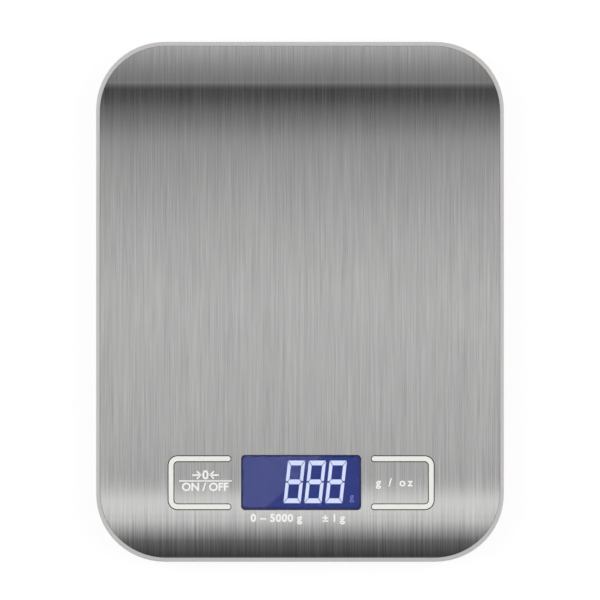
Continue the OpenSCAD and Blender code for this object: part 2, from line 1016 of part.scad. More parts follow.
module coil(turns, steps, sides) {
    rings = turns * steps;
    points = [
        for (i = [0:rings]) for (k = [0:sides - 1])
            coil_point(i / rings, turns, k, sides)
    ];
    walls = [
        for (i = [0:rings - 1]) for (k = [0:sides - 1])
            let (a = i * sides + k, b = i * sides + (k + 1) % sides)
                each [[a, b, a + sides], [b, b + sides, a + sides]]
    ];
    polyhedron(points, concat(
        [[for (k = [sides - 1:-1:0]) k]],
        walls,
        [[for (k = [0:sides - 1]) rings * sides + k]]
    ));
}

module battery_springs() {
    color("silver")
        for (side = [-1, 1])
            translate([side * (bay_half - contact_t), -side * battery_y, battery_z])
                rotate([0, 0, side > 0 ? 180 : 0])
                    coil(3, 12, 6);
}

module battery_door() {
    color("gainsboro") {
        difference() {
            translate([0, (door_back - door_front) / 2, 0])
                block(2 * door_half, door_back + door_front - 2 * door_gap,
                      ground_gap, ground_gap + door_t);
            translate([0, -door_front, 0])
                block(latch_w + 2 * latch_side_gap, 2 * (door_front - latch_guard - latch_t),
                      ground_gap - cut, floor_top + cut);
        }
        // tabs that reach over the floor at the back
        for (x = [-tab_x, tab_x]) {
            translate([x, door_back - door_gap - tab_t / 2, 0])
                block(tab_w, tab_t, ground_gap + door_t / 2, tab_z + tab_t);
            translate([x, door_back - door_gap + tab_over / 2, 0])
                block(tab_w, tab_over, tab_z, tab_z + tab_t);
        }
        // guard wall and bow that the latch's arm hangs from
        translate([0, -latch_guard - latch_t / 2, 0])
            block(latch_w, guard_t, ground_gap + door_t / 2, bow_z + latch_t);
        translate([0, -(latch_guard + door_front - door_gap) / 2, 0])
            block(latch_w, door_front - door_gap - latch_guard, bow_z, bow_z + latch_t);
    }
}

// an arm that hangs from the bow, with a nose over the floor's edge
module door_latch() {
    arm_y = -door_front + door_gap;
    nose_y = -door_front - latch_notch - latch_bite;
    color("gainsboro")
        translate([-latch_w / 2, 0, 0])
            rotate([90, 0, 90])
                linear_extrude(latch_w) {
                    polygon([
                        [arm_y, ground_gap], [arm_y + latch_t, ground_gap],
                        [arm_y + latch_t, latch_z], [arm_y, latch_z],
                        [arm_y, nose_z + nose_h], [nose_y, nose_z + nose_h],
                        [nose_y, nose_z + nose_rise], [arm_y, nose_z]
                    ]);
                    translate([arm_y + latch_t / 2, latch_z])
                        circle(d = latch_t);
                }
}

// ---------- wires ----------

// a wire that runs along X and Y, with a round bend at each corner
module wire_run(pts, bend = 3) {
    last = len(pts) - 1;
    for (i = [0:last - 1]) {
        run = pts[i + 1] - pts[i];
        dir = run / norm(run);
        from = pts[i] + (i == 0 ? 0 : bend) * dir;
        l = norm(run) - (i == 0 ? 0 : bend) - (i == last - 1 ? 0 : bend);
        translate([from[0], from[1], wire_z])
            rotate([0, 90, atan2(dir[1], dir[0])])
                cylinder(d = wire_d, h = l, $fn = 16);
    }
    for (i = [1:1:last - 1]) {
        before = (pts[i - 1] - pts[i]) / norm(pts[i - 1] - pts[i]);
        after = (pts[i + 1] - pts[i]) / norm(pts[i + 1] - pts[i]);
        mid = pts[i] + bend * (before + after);
        start = atan2(-before[1] - after[1], -before[0] - after[0]) - 45;
        translate([mid[0], mid[1], wire_z])
            rotate([0, 0, start])
                rotate_extrude(angle = 90)
                    translate([bend, 0])
                        circle(d = wire_d, $fn = 16);
    }
}

module front_cell_wires(side) {
    y = -foot_y - 2;
    color("firebrick")
        for (k = [-1:1])
            wire_run([
                [side * (foot_x - cell_w / 2 + 2), y + k * wire_pitch],
                [controls_x + side * (board_w / 2 - wire_on_board), y + k * wire_pitch]
            ]);
}

module rear_cell_wires(side) {
    x = foot_x - cell_w / 2 + 2.5;
    y = board_y + board_l / 2 - 9.5;
    color("firebrick")
        for (k = [-1:1])
            wire_run([
                [side * (x + k * wire_pitch), foot_y - cell_l / 2 + 2.5],
                [side * (x + k * wire_pitch), y - k * wire_pitch],
                [controls_x + side * (board_w / 2 - wire_on_board), y - k * wire_pitch]
            ]);
}

module battery_wires() {
    color("black")
        for (k = [0, 1])
            wire_run([
                [tail_x + tail_step * k, (k == 0 ? -1 : 1) * battery_y],
                [tail_x + tail_step * k, board_y + board_l / 2 - wire_on_board]
            ]);
}

// ---------- fasteners ----------

// a cross-head screw with its head down
module screw(d, head_d, head_h, l, seat) {
    difference() {
        post(head_d, seat - head_h, seat);
        for (a = [0, 90])
            rotate([0, 0, a])
                block(head_d * 0.6, head_d * 0.16, seat - head_h - cut, seat - head_h * 0.4);
    }
    post(d, seat - 0.01, seat + l);
}

module case_screws() {
    color("darkgray")
        at_case_screws()
            screw(case_screw_d, case_head_d, case_head_h, case_screw_l, head_seat);
}

module board_screws() {
    color("darkgray")
        at_board_posts()
            screw(board_screw_d, board_head_d, board_head_h, board_screw_l, board_under);
}

platform_plate();
plate_tape();
top_shell();
bottom_shell();
key_blade(-1);  // power_button
key_actuator(-1);  // power_button_actuator
key_seal(-1);  // power_button_seal
switch_body(-1);  // power_switch_body
switch_plunger(-1);  // power_switch_plunger
key_blade(1);  // unit_button
key_actuator(1);  // unit_button_actuator
key_seal(1);  // unit_button_seal
switch_body(1);  // unit_switch_body
switch_plunger(1);  // unit_switch_plunger
display_lens();
lens_gasket();
lcd_front_glass();
lcd_rear_glass();
backlight_panel();
backlight_led();
lcd_holder();
zebra_strip();
main_board();
adc_chip();
controller_chip();
crystal_can();
board_capacitors();
load_cell(-1, -1);  // load_cell_front_left
load_cell(1, -1);  // load_cell_front_right
load_cell(-1, 1);  // load_cell_rear_left
load_cell(1, 1);  // load_cell_rear_right
strain_gauges();
foot_cup(-1, -1);  // foot_cup_front_left
foot_cup(1, -1);  // foot_cup_front_right
foot_cup(-1, 1);  // foot_cup_rear_left
foot_cup(1, 1);  // foot_cup_rear_right
foot_pad(-1, -1);  // foot_pad_front_left
foot_pad(1, -1);  // foot_pad_front_right
foot_pad(-1, 1);  // foot_pad_rear_left
foot_pad(1, 1);  // foot_pad_rear_right
battery(-1);  // battery_front
battery(1);  // battery_rear
bridge_contact();
plus_contact();
minus_contact();
battery_springs();
battery_door();
door_latch();
front_cell_wires(-1);  // cell_wires_front_left
front_cell_wires(1);  // cell_wires_front_right
rear_cell_wires(-1);  // cell_wires_rear_left
rear_cell_wires(1);  // cell_wires_rear_right
battery_wires();
case_screws();
board_screws();
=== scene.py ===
import json
import math

import bpy
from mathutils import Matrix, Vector


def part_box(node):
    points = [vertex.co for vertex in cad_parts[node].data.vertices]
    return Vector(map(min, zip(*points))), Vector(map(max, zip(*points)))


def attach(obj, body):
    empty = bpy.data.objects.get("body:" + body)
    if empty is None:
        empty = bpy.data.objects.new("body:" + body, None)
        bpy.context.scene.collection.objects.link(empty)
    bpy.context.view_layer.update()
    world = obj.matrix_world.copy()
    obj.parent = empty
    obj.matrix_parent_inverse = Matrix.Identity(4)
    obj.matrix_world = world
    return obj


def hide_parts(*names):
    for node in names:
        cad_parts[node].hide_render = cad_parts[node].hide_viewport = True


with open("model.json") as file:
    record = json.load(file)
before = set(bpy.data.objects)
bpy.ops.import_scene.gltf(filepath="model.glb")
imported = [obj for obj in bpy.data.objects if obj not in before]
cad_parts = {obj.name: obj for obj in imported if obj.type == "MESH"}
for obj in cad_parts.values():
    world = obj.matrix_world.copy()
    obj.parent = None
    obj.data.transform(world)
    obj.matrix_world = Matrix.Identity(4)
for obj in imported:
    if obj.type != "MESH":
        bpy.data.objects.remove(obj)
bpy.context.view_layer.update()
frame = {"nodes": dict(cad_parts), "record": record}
nodes = frame["nodes"]
print("frame loaded:", len(nodes), "solids")


def linear(hexText):
    parts = [int(hexText[i:i + 2], 16) / 255 for i in (0, 2, 4)]
    return tuple(c / 12.92 if c <= 0.04045 else ((c + 0.055) / 1.055) ** 2.4 for c in parts) + (1,)


def grey(level):
    return (level, level, level, 1)


def setInputs(tree, node, values):
    # a socket, or a node's first open output, is linked to the input. A number or a colour is set on it, and
    # a hex text is a colour
    for key, value in values.items():
        if isinstance(value, bpy.types.Node):
            value = next(socket for socket in value.outputs if socket.enabled)
        if isinstance(value, bpy.types.NodeSocket):
            tree.links.new(value, node.inputs[key])
        else:
            node.inputs[key].default_value = linear(value) if isinstance(value, str) else value


def addNode(tree, kind, values=None, **settings):
    # a colour Mix takes its share at input 0 and its two colours at inputs 6 and 7
    node = tree.nodes.new(kind)
    for key, value in settings.items():
        setattr(node, key, value)
    setInputs(tree, node, values or {})
    return node


def perMm(size):
    # scale of a pattern that repeats about every so many millimetres
    return 1000 / size


def wavePerMm(size):
    # scale of a Wave texture whose lines stand that many millimetres apart
    return math.pi / 10 * 1000 / size


# camera straight above the platform; sizes are in metres, and the sensor's in millimetres. The camera and
# the small lamp stand at their heights over the underside of the steel
view = {
    "height": 1.5, "shiftY": 0.0008, "frameWidth": 0.2647, "steelLow": 0.0155, "sensorMm": 36,
    "near": 0.01, "far": 20,
}


def makeCamera():
    bpy.ops.object.select_all(action="DESELECT")
    at = (0, view["shiftY"], view["steelLow"] + view["height"])
    bpy.ops.object.camera_add(location=at, rotation=(0, 0, 0))
    camera = bpy.context.object
    camera.data.sensor_width = view["sensorMm"]
    camera.data.lens = view["sensorMm"] * view["height"] / view["frameWidth"]
    camera.data.clip_start = view["near"]
    camera.data.clip_end = view["far"]
    bpy.context.scene.camera = camera
    bpy.context.scene.view_settings.view_transform = "Standard"


makeCamera()

floorLook = {"size": 8, "glow": 0.83, "catch": 0.2, "plain": 0.8}


def makeFloorPaper():
    # white paper floor: it reads as plain white where it is looked at and keeps a faint shadow
    paper = bpy.data.materials.new("whitePaper")
    paper.use_nodes = True
    tree = paper.node_tree
    tree.nodes.clear()
    path = addNode(tree, "ShaderNodeLightPath").outputs
    seen = addNode(tree, "ShaderNodeMath", {0: path["Is Camera Ray"], 1: path["Is Glossy Ray"]},
                   operation="MAXIMUM")
    seen = addNode(tree, "ShaderNodeMath", {0: seen, 1: path["Is Transmission Ray"]}, operation="MAXIMUM")
    glow = addNode(tree, "ShaderNodeEmission", {"Strength": floorLook["glow"]})
    catch = addNode(tree, "ShaderNodeBsdfDiffuse", {"Color": grey(floorLook["catch"])})
    both = addNode(tree, "ShaderNodeAddShader", {0: glow, 1: catch})
    plain = addNode(tree, "ShaderNodeBsdfDiffuse", {"Color": grey(floorLook["plain"])})
    mix = addNode(tree, "ShaderNodeMixShader", {0: seen, 1: plain, 2: both})
    addNode(tree, "ShaderNodeOutputMaterial", {"Surface": mix})
    return paper


def makeFloor():
    bpy.ops.mesh.primitive_plane_add(size=floorLook["size"], location=(0, 0, 0))
    floor = bpy.context.object
    floor.name = "floor"
    floor.data.materials.append(makeFloorPaper())


makeFloor()

# brightness of the soft boxes round the scale, by the angle in degrees from straight up towards its far
# side. The steel mirrors them as light and dark bands: its flat the ones overhead, its two bent ends the
# others
studio = {
    -90: 0.95, -62: 0.9, -50: 0.42, -38: 0.08, -32: 0.13, -25: 0.2, -18: 0.45, -15: 0.58, -11: 0.75,
    -6.4: 0.93, 6.4: 0.17, 7.8: 0.35, 9.5: 0.315, 20: 0.4, 40: 0.65, 60: 0.85, 90: 0.95,
}
overhead = {
    -6.4: 0.93, -4.0: 0.95, -3.75: 0.88, -3.6: 0.95, -3.4: 1.3, -3.2: 0.75, -3.05: 0.6, -2.6: 0.7, 0: 0.78,
    1.2: 0.69, 2.7: 0.5, 2.95: 0.32, 3.25: 0.22, 3.4: 0.06, 3.6: 0.11, 4.6: 0.08, 6.4: 0.17,
}
# towards the left and right walls the studio is an even grey
sideWall = {"from": 0.3, "to": 0.65, "grey": 0.7}


def addLevels(tree, angle, levels):
    low, high = min(levels), max(levels)
    share = addNode(tree, "ShaderNodeMapRange", {
        "Value": angle, "From Min": math.radians(low), "From Max": math.radians(high)})
    ramp = addNode(tree, "ShaderNodeValToRGB", {0: share})
    stops = ramp.color_ramp.elements
    for count, (degrees, level) in enumerate(sorted(levels.items())):
        place = (degrees - low) / (high - low)
        stop = stops[count] if count < 2 else stops.new(place)
        stop.position = place
        stop.color = grey(level)
    return ramp


def makeStudio():
    world = bpy.data.worlds.new("studio")
    bpy.context.scene.world = world
    world.use_nodes = True
    tree = world.node_tree
    tree.nodes.clear()
    place = addNode(tree, "ShaderNodeTexCoord").outputs["Generated"]
    axes = addNode(tree, "ShaderNodeSeparateXYZ", {0: place}).outputs
    angle = addNode(tree, "ShaderNodeMath", {0: axes["Y"], 1: axes["Z"]}, operation="ARCTAN2")
    above = addNode(tree, "ShaderNodeMath", {0: angle, 1: 0.0, 2: math.radians(max(overhead))},
                    operation="COMPARE")
    boxes = addNode(tree, "ShaderNodeMix", {
        0: above, 6: addLevels(tree, angle, studio), 7: addLevels(tree, angle, overhead)}, data_type="RGBA")
    out = addNode(tree, "ShaderNodeMath", {0: axes["X"]}, operation="ABSOLUTE")
    wall = addNode(tree, "ShaderNodeMapRange", {
        "Value": out, "From Min": sideWall["from"], "From Max": sideWall["to"]})
    allRound = addNode(tree, "ShaderNodeMix", {
        0: wall, 6: boxes, 7: grey(sideWall["grey"])}, data_type="RGBA")
    soft = addNode(tree, "ShaderNodeBackground", {"Color": allRound})
    white = addNode(tree, "ShaderNodeBackground", {"Color": grey(1)})
    path = addNode(tree, "ShaderNodeLightPath").outputs
    seen = addNode(tree, "ShaderNodeMath", {0: path["Is Camera Ray"], 1: path["Is Transmission Ray"]},
                   operation="MAXIMUM")
    mix = addNode(tree, "ShaderNodeMixShader", {0: seen, 1: soft, 2: white})
    addNode(tree, "ShaderNodeOutputWorld", {"Surface": mix})


makeStudio()


def addLamp(size, watts, at):
    bpy.ops.object.light_add(type="AREA", location=at)
    lamp = bpy.context.object
    lamp.data.shape = "RECTANGLE"
    lamp.data.size, lamp.data.size_y = size
    lamp.data.energy = watts
    return lamp


# a soft lamp on each side; the steel doesn't mirror them
sideLamp = {"size": (0.7, 1.2), "watts": 5.6, "out": 0.95, "back": 0.1, "up": 0.75}


def makeSideLamps():
    for side in (-1, 1):
        at = Vector((side * sideLamp["out"], sideLamp["back"], sideLamp["up"]))
        lamp = addLamp(sideLamp["size"], sideLamp["watts"], at)
        lamp.visible_glossy = False
        lamp.rotation_euler = (-at).to_track_quat("-Z", "Y").to_euler()


makeSideLamps()

# a window's reflection across the left part of the display: a small lamp that only the lens and what is
# under it mirror, placed so that the right edge of its image runs from edgeLow to edgeHigh on the display
glare = {
    "height": 0.5, "size": (0.039, 0.072), "watts": 0.0132, "edgeLow": (-0.0183, -0.094),
    "edgeHigh": (0.0117, -0.0665),
}


def makeGlare():
    grow = 1 + glare["height"] / view["height"]
    low = Vector(glare["edgeLow"]) * grow
    high = Vector(glare["edgeHigh"]) * grow
    along = (high - low).normalized()
    middle = (low + high) / 2 + Vector((-along.y, along.x)) * glare["size"][0] / 2
    at = (middle.x, middle.y, view["steelLow"] + glare["height"])
    lamp = addLamp(glare["size"], glare["watts"], at)
    lamp.rotation_euler = (0, 0, math.atan2(-along.x, along.y))
    lamp.visible_camera = False
    onlyLens = bpy.data.collections.new("takesTheGlare")
    onlyLens.objects.link(nodes["display_lens"])
    lamp.light_linking.receiver_collection = onlyLens


makeGlare()
print("stage set")


def newFinish(name, values=None):
    material = bpy.data.materials.new(name)
    material.use_nodes = True
    tree = material.node_tree
    shader = tree.nodes["Principled BSDF"]
    setInputs(tree, shader, values or {})
    place = addNode(tree, "ShaderNodeTexCoord").outputs["Object"]
    return material, tree, shader, place


def moulded(name, low, high, rough, grainMm, depthMm, mottleMm=18, ior=1.5):
    # a moulded plastic or rubber: a spark-eroded mould leaves an even satin grain, and the colour clouds
    # slightly
    glossSpread = 0.04
    material, tree, shader, place = newFinish(name, {"IOR": ior})
    cloud = addNode(tree, "ShaderNodeTexNoise", {"Vector": place, "Scale": perMm(mottleMm), "Detail": 3})
    grain = addNode(tree, "ShaderNodeTexNoise", {"Vector": place, "Scale": perMm(grainMm), "Detail": 2})
    colour = addNode(tree, "ShaderNodeMix", {0: cloud, 6: low, 7: high}, data_type="RGBA")
    gloss = addNode(tree, "ShaderNodeMapRange", {
        "Value": grain, "To Min": rough - glossSpread, "To Max": rough + glossSpread})
    bump = addNode(tree, "ShaderNodeBump", {"Height": grain, "Distance": depthMm / 1000, "Strength": 1})
    setInputs(tree, shader, {"Base Color": colour, "Roughness": gloss, "Normal": bump})
    return material


# a belt's hairs: the noise levels taken as darkest and brightest, the share by which the gloss varies, and
# the stretch of Y over which their colour contrast grows on the front bend: a painted sheen that stands in
# for the side light the hairs catch there
hair = {
    "detail": 4, "roughness": 0.65, "dark": 0.28, "bright": 0.72, "glossShare": 0.35, "bendFrom": -0.094,
    "bendTo": -0.103,
}


def brushed(name, low, high, rough, lineMm, lengthMm, depthMm, anisotropy, frontSheenGain=1):
    # an abrasive belt leaves fine straight lines, front to back: bright and dark hairs that blur what the
    # metal mirrors across them and leave it sharp along them. On the front bend their colour contrast is
    # raised by the given factor, a painted sheen that stands in for the side light the hairs catch there
    material, tree, shader, place = newFinish(name, {"Metallic": 1, "Anisotropic": anisotropy})
    drawn = addNode(tree, "ShaderNodeMapping", {
        "Vector": place, "Scale": (perMm(lineMm), perMm(lengthMm), perMm(lengthMm))})
    hairs = addNode(tree, "ShaderNodeTexNoise", {
        "Vector": drawn, "Scale": 1, "Detail": hair["detail"], "Roughness": hair["roughness"]})
    lines = addNode(tree, "ShaderNodeMapRange", {
        "Value": hairs, "From Min": hair["dark"], "From Max": hair["bright"], "To Min": -0.5, "To Max": 0.5})
    axes = addNode(tree, "ShaderNodeSeparateXYZ", {0: place}).outputs
    # painted sheen: the hairs' colour contrast grows towards the front bend, standing in for the side light
    # they catch
    paintedSheenGain = addNode(tree, "ShaderNodeMapRange", {
        "Value": axes["Y"], "From Min": hair["bendFrom"], "From Max": hair["bendTo"],
        "To Min": 1 / frontSheenGain, "To Max": 1})
    shade = addNode(tree, "ShaderNodeMath", {0: lines, 1: paintedSheenGain, 2: 0.5}, operation="MULTIPLY_ADD")
    colour = addNode(tree, "ShaderNodeMix", {0: shade, 6: low, 7: high}, data_type="RGBA")
    gloss = addNode(tree, "ShaderNodeMapRange", {
        "Value": lines, "From Min": -0.5, "From Max": 0.5,
        "To Min": rough * (1 - hair["glossShare"]), "To Max": rough * (1 + hair["glossShare"])})
    bump = addNode(tree, "ShaderNodeBump", {"Height": hairs, "Distance": depthMm / 1000, "Strength": 1})
    across = addNode(tree, "ShaderNodeCombineXYZ", {"X": 1.0})
    setInputs(tree, shader, {"Base Color": colour, "Roughness": gloss, "Normal": bump, "Tangent": across})
    return material


def plated(name, low, high, rough, cloudMm, depthMm=0.004):
    # bright plating on formed steel: nearly a mirror, with a thin uneven haze
    clearer, hazier = rough - 0.06, rough + 0.08
    material, tree, shader, place = newFinish(name, {"Metallic": 1})
    haze = addNode(tree, "ShaderNodeTexNoise", {"Vector": place, "Scale": perMm(cloudMm), "Detail": 4})
    colour = addNode(tree, "ShaderNodeMix", {0: haze, 6: low, 7: high}, data_type="RGBA")
    gloss = addNode(tree, "ShaderNodeMapRange", {"Value": haze, "To Min": clearer, "To Max": hazier})
    bump = addNode(tree, "ShaderNodeBump", {"Height": haze, "Distance": depthMm / 1000, "Strength": 1})
    setInputs(tree, shader, {"Base Color": colour, "Roughness": gloss, "Normal": bump})
    return material


def makeSeal():
    # silicone: an off-white rib with a soft sheen. Under ribFrom it is painted dark grey, a painted shadow
    # of the gap beside the steel, which shows as a thin line
    paintedShadeColour, ribFrom = "3c3d3b", 0.01552
    material = moulded("siliconeRubber", "e8e9e2", "f0f1ea", 0.5, 0.4, 0.006, mottleMm=9, ior=1.41)
    tree = material.node_tree
    shader = tree.nodes["Principled BSDF"]
    white = shader.inputs["Base Color"].links[0].from_socket
    place = tree.nodes["Texture Coordinate"].outputs["Object"]
    axes = addNode(tree, "ShaderNodeSeparateXYZ", {0: place}).outputs
    # below ribFrom the colour is painted shade: a dark line standing in for the shadow in the gap beside the
    # steel
    rib = addNode(tree, "ShaderNodeMath", {0: axes["Z"], 1: ribFrom}, operation="GREATER_THAN")
    colour = addNode(tree, "ShaderNodeMix", {0: rib, 6: paintedShadeColour, 7: white}, data_type="RGBA")
    setInputs(tree, shader, {"Base Color": colour})
    return material


def clouded(name, values, low, high, cloudMm, gloss=None, detail=2):
    # a smooth material with soft clouds of colour, and of gloss between the two given ends
    material, tree, shader, place = newFinish(name, values)
    cloud = addNode(tree, "ShaderNodeTexNoise", {"Vector": place, "Scale": perMm(cloudMm), "Detail": detail})
    colour = addNode(tree, "ShaderNodeMix", {0: cloud, 6: low, 7: high}, data_type="RGBA")
    setInputs(tree, shader, {"Base Color": colour})
    if gloss:
        shine = addNode(tree, "ShaderNodeMapRange", {"Value": cloud, "To Min": gloss[0], "To Max": gloss[1]})
        setInputs(tree, shader, {"Roughness": shine})
    return material


def makeLightGuide():
    # milky acrylic with printed white dots that scatter the lamp's light upwards
    dotMm, dotHalf, dotEdge = 1.2, 0.28, 0.34
    material, tree, shader, place = newFinish("milkyAcrylic", {
        "IOR": 1.49, "Roughness": 0.25, "Emission Color": "dfe6ff", "Emission Strength": 0.25})
    dots = addNode(tree, "ShaderNodeTexVoronoi", {
        "Vector": place, "Scale": perMm(dotMm), "Randomness": 0.0}).outputs["Distance"]
    edge = addNode(tree, "ShaderNodeMapRange", {"Value": dots, "From Min": dotHalf, "From Max": dotEdge})
    colour = addNode(tree, "ShaderNodeMix", {0: edge, 6: "ffffff", 7: "e2e6f6"}, data_type="RGBA")
    setInputs(tree, shader, {"Base Color": colour})
    return material


def makeZebraRubber():
    # conductive and clear silicone in turn, really 0.1 mm apart, drawn wider apart to show
    apartMm = 0.5
    material, tree, shader, place = newFinish("stripedElastomer", {"IOR": 1.41, "Roughness": 0.5})
    stripes = addNode(tree, "ShaderNodeTexWave", {
        "Vector": place, "Scale": wavePerMm(apartMm)}).outputs["Fac"]
    colour = addNode(tree, "ShaderNodeMix", {0: stripes, 6: "2c2527", 7: "d46a8c"}, data_type="RGBA")
    setInputs(tree, shader, {"Base Color": colour})
    return material


def makeCircuitBoard():
    # green solder mask over copper tracks about 0.4 mm wide: raised paler lines under a glossy film
    cellMm, rings, trackFrom, trackTo, depthMm = 4.5, 9.0, 0.35, 0.55, 0.04
    material, tree, shader, place = newFinish("greenSolderMask", {"IOR": 1.55, "Coat Weight": 0.4})
    cells = addNode(tree, "ShaderNodeTexVoronoi", {
        "Vector": place, "Scale": perMm(cellMm), "Randomness": 0.35}, distance="MANHATTAN")
    bands = addNode(tree, "ShaderNodeMath", {0: cells.outputs["Distance"], 1: rings}, operation="MULTIPLY")
    waves = addNode(tree, "ShaderNodeMath", {0: bands}, operation="SINE")
    track = addNode(tree, "ShaderNodeMapRange", {"Value": waves, "From Min": trackFrom, "From Max": trackTo})
    colour = addNode(tree, "ShaderNodeMix", {0: track, 6: "1a5c3b", 7: "2c7d52"}, data_type="RGBA")
    gloss = addNode(tree, "ShaderNodeMapRange", {"Value": track, "To Min": 0.32, "To Max": 0.22})
    bump = addNode(tree, "ShaderNodeBump", {"Height": track, "Distance": depthMm / 1000, "Strength": 1})
    setInputs(tree, shader, {"Base Color": colour, "Roughness": gloss, "Normal": bump})
    return material


def makeGaugeFilm():
    # etched metal foil on amber polyimide film: a close grid of lines, really 0.05 mm apart, drawn wider
    # apart to show
    apartMm, lineFrom, lineTo, metalShare = 0.4, 0.45, 0.6, 0.8
    material, tree, shader, place = newFinish("polyimideFoil", {"IOR": 1.6, "Roughness": 0.35})
    grid = addNode(tree, "ShaderNodeTexWave", {
        "Vector": place, "Scale": wavePerMm(apartMm)}, bands_direction="Y").outputs["Fac"]
    line = addNode(tree, "ShaderNodeMapRange", {"Value": grid, "From Min": lineFrom, "From Max": lineTo})
    colour = addNode(tree, "ShaderNodeMix", {0: line, 6: "b9701f", 7: "d9b48a"}, data_type="RGBA")
    metal = addNode(tree, "ShaderNodeMath", {0: line, 1: metalShare}, operation="MULTIPLY")
    setInputs(tree, shader, {"Base Color": colour, "Metallic": metal})
    return material


sleeve = {
    "green": "4f7a48", "pale": "d9dccb", "can": "c6c6c2", "bandHalf": 0.006, "filmHalf": 0.0208,
    "axisY": 0.00535, "markX": 0.0155, "markHalf": 0.0017, "markBar": 0.0004, "crinkleMm": 3,
    "crinkleDepthMm": 0.04,
}


def makeBatterySleeve():
    # printed shrink film over the steel can: plain green with a pale band, a + and a - by its ends, bare
    # plated steel past the film. The batteries lie along X, one on each side, with their plus ends opposite
    # ways
    material, tree, shader, place = newFinish("printedShrinkFilm", {"IOR": 1.5})
    axes = addNode(tree, "ShaderNodeSeparateXYZ", {0: place}).outputs
    out = addNode(tree, "ShaderNodeMath", {0: axes["X"]}, operation="ABSOLUTE")
    band = addNode(tree, "ShaderNodeMath", {0: out, 1: sleeve["bandHalf"]}, operation="LESS_THAN")
    bare = addNode(tree, "ShaderNodeMath", {0: out, 1: sleeve["filmHalf"]}, operation="GREATER_THAN")
    # the long bar of both marks lies along the battery, and the cross bar of the + stands at its plus end
    side = addNode(tree, "ShaderNodeMath", {0: axes["Y"]}, operation="SIGN")
    toPlus = addNode(tree, "ShaderNodeMath", {0: axes["X"], 1: side}, operation="MULTIPLY")
    offAxis = addNode(tree, "ShaderNodeMath", {0: axes["Y"]}, operation="ABSOLUTE")
    pale = band
    for source, long, wide in ((out, "markHalf", "markBar"), (toPlus, "markBar", "markHalf")):
        alongIt = addNode(tree, "ShaderNodeMath", {0: source, 1: sleeve["markX"], 2: sleeve[long]},
                          operation="COMPARE")
        acrossIt = addNode(tree, "ShaderNodeMath", {0: offAxis, 1: sleeve["axisY"], 2: sleeve[wide]},
                           operation="COMPARE")
        bar = addNode(tree, "ShaderNodeMath", {0: alongIt, 1: acrossIt}, operation="MULTIPLY")
        pale = addNode(tree, "ShaderNodeMath", {0: pale, 1: bar}, operation="MAXIMUM")
    film = addNode(tree, "ShaderNodeMix", {0: pale, 6: sleeve["green"], 7: sleeve["pale"]}, data_type="RGBA")
    colour = addNode(tree, "ShaderNodeMix", {0: bare, 6: film, 7: sleeve["can"]}, data_type="RGBA")
    crinkle = addNode(tree, "ShaderNodeTexNoise", {
        "Vector": place, "Scale": perMm(sleeve["crinkleMm"]), "Detail": 3})
    gloss = addNode(tree, "ShaderNodeMapRange", {"Value": crinkle, "To Min": 0.22, "To Max": 0.4})
    bump = addNode(tree, "ShaderNodeBump", {
        "Height": crinkle, "Distance": sleeve["crinkleDepthMm"] / 1000, "Strength": 1})
    setInputs(tree, shader, {"Base Color": colour, "Metallic": bare, "Roughness": gloss, "Normal": bump})
    return material


finishes = {
    # 430 stainless sheet, belt-brushed front to back: hairs about 0.2 mm wide, drawn 0.45 mm wide to show
    # its last number doubles the hairs' colour contrast on the front bend: a painted sheen
    "brushed_steel": brushed("brushedStainless", "9c9c9c", "e4e4e3", 0.072, 0.45, 34, 0.004, 1.0, 2),
    # light grey ABS out of a fine-grained mould
    "abs_grey": moulded("satinGreyAbs", "bebbba", "c4c1c0", 0.42, 0.5, 0.004),
    "seal_white": makeSeal(),
    # clear cast acrylic with a faint blue cast; its low index stands for an anti-reflection coat
    "lens_acrylic": clouded("polishedAcrylic", {"IOR": 1.05, "Transmission Weight": 1},
                            "eef0ff", "fafaff", 9, (0.01, 0.02)),
    # thin soda-lime glass over blue liquid crystal: dark, glossy, faint clouds of blue
    "lcd_glass": clouded("liquidCrystalGlass", {"IOR": 1.52}, "20215c", "2a2c74", 12, (0.05, 0.1)),
    "backlight_acrylic": makeLightGuide(),
    # white ABS, a little glossier than the casing's
    "white_abs": moulded("whiteAbs", "e7e6e1", "f0efea", 0.4, 0.5, 0.012),
    # foam carrier with adhesive: open cells about 0.5 mm across
    "foam_tape": moulded("adhesiveFoam", "d6d3c8", "e6e3da", 0.85, 0.5, 0.12, mottleMm=5),
    "zebra_rubber": makeZebraRubber(),
    "circuit_board": makeCircuitBoard(),
    # black filled epoxy, fine and dull
    "chip_epoxy": moulded("mouldedEpoxy", "171718", "222223", 0.55, 0.25, 0.02, mottleMm=2),
    # fired ceramic, slightly uneven tan
    "ceramic": moulded("firedCeramic", "a58052", "bd986a", 0.45, 0.3, 0.01, mottleMm=1, ior=1.6),
    "gauge_film": makeGaugeFilm(),
    # rolled spring steel, nickel-plated: soft lines from the rolling mill
    "spring_steel": brushed("rolledSpringSteel", "92989e", "a6acb2", 0.3, 0.6, 20, 0.003, 0.6),
    # bright nickel on the contacts and springs
    "plated_steel": plated("nickelPlate", "bdbdba", "d2d2ce", 0.18, 3),
    # zinc plating with its blue-grey cast
    "zinc_screw": plated("zincPlate", "9da2a6", "b4b8ba", 0.34, 1.2, 0.01),
    # black nylon, satin, out of a fine-grained mould
    "black_nylon": moulded("blackNylon", "1e1f21", "2a2b2d", 0.45, 0.4, 0.02),
    # soft dark rubber, dull and a little dusty
    "foot_rubber": moulded("mattBlackRubber", "303132", "434446", 0.76, 0.4, 0.03, mottleMm=6, ior=1.52),
    "battery_can": makeBatterySleeve(),
    # PVC insulation drawn smooth, slightly waxy
    "wire_red": moulded("redPvc", "a32a26", "b83631", 0.32, 1.5, 0.02, mottleMm=4, ior=1.53),
    "wire_black": moulded("blackPvc", "18181a", "252527", 0.32, 1.5, 0.02, mottleMm=4, ior=1.53),
}
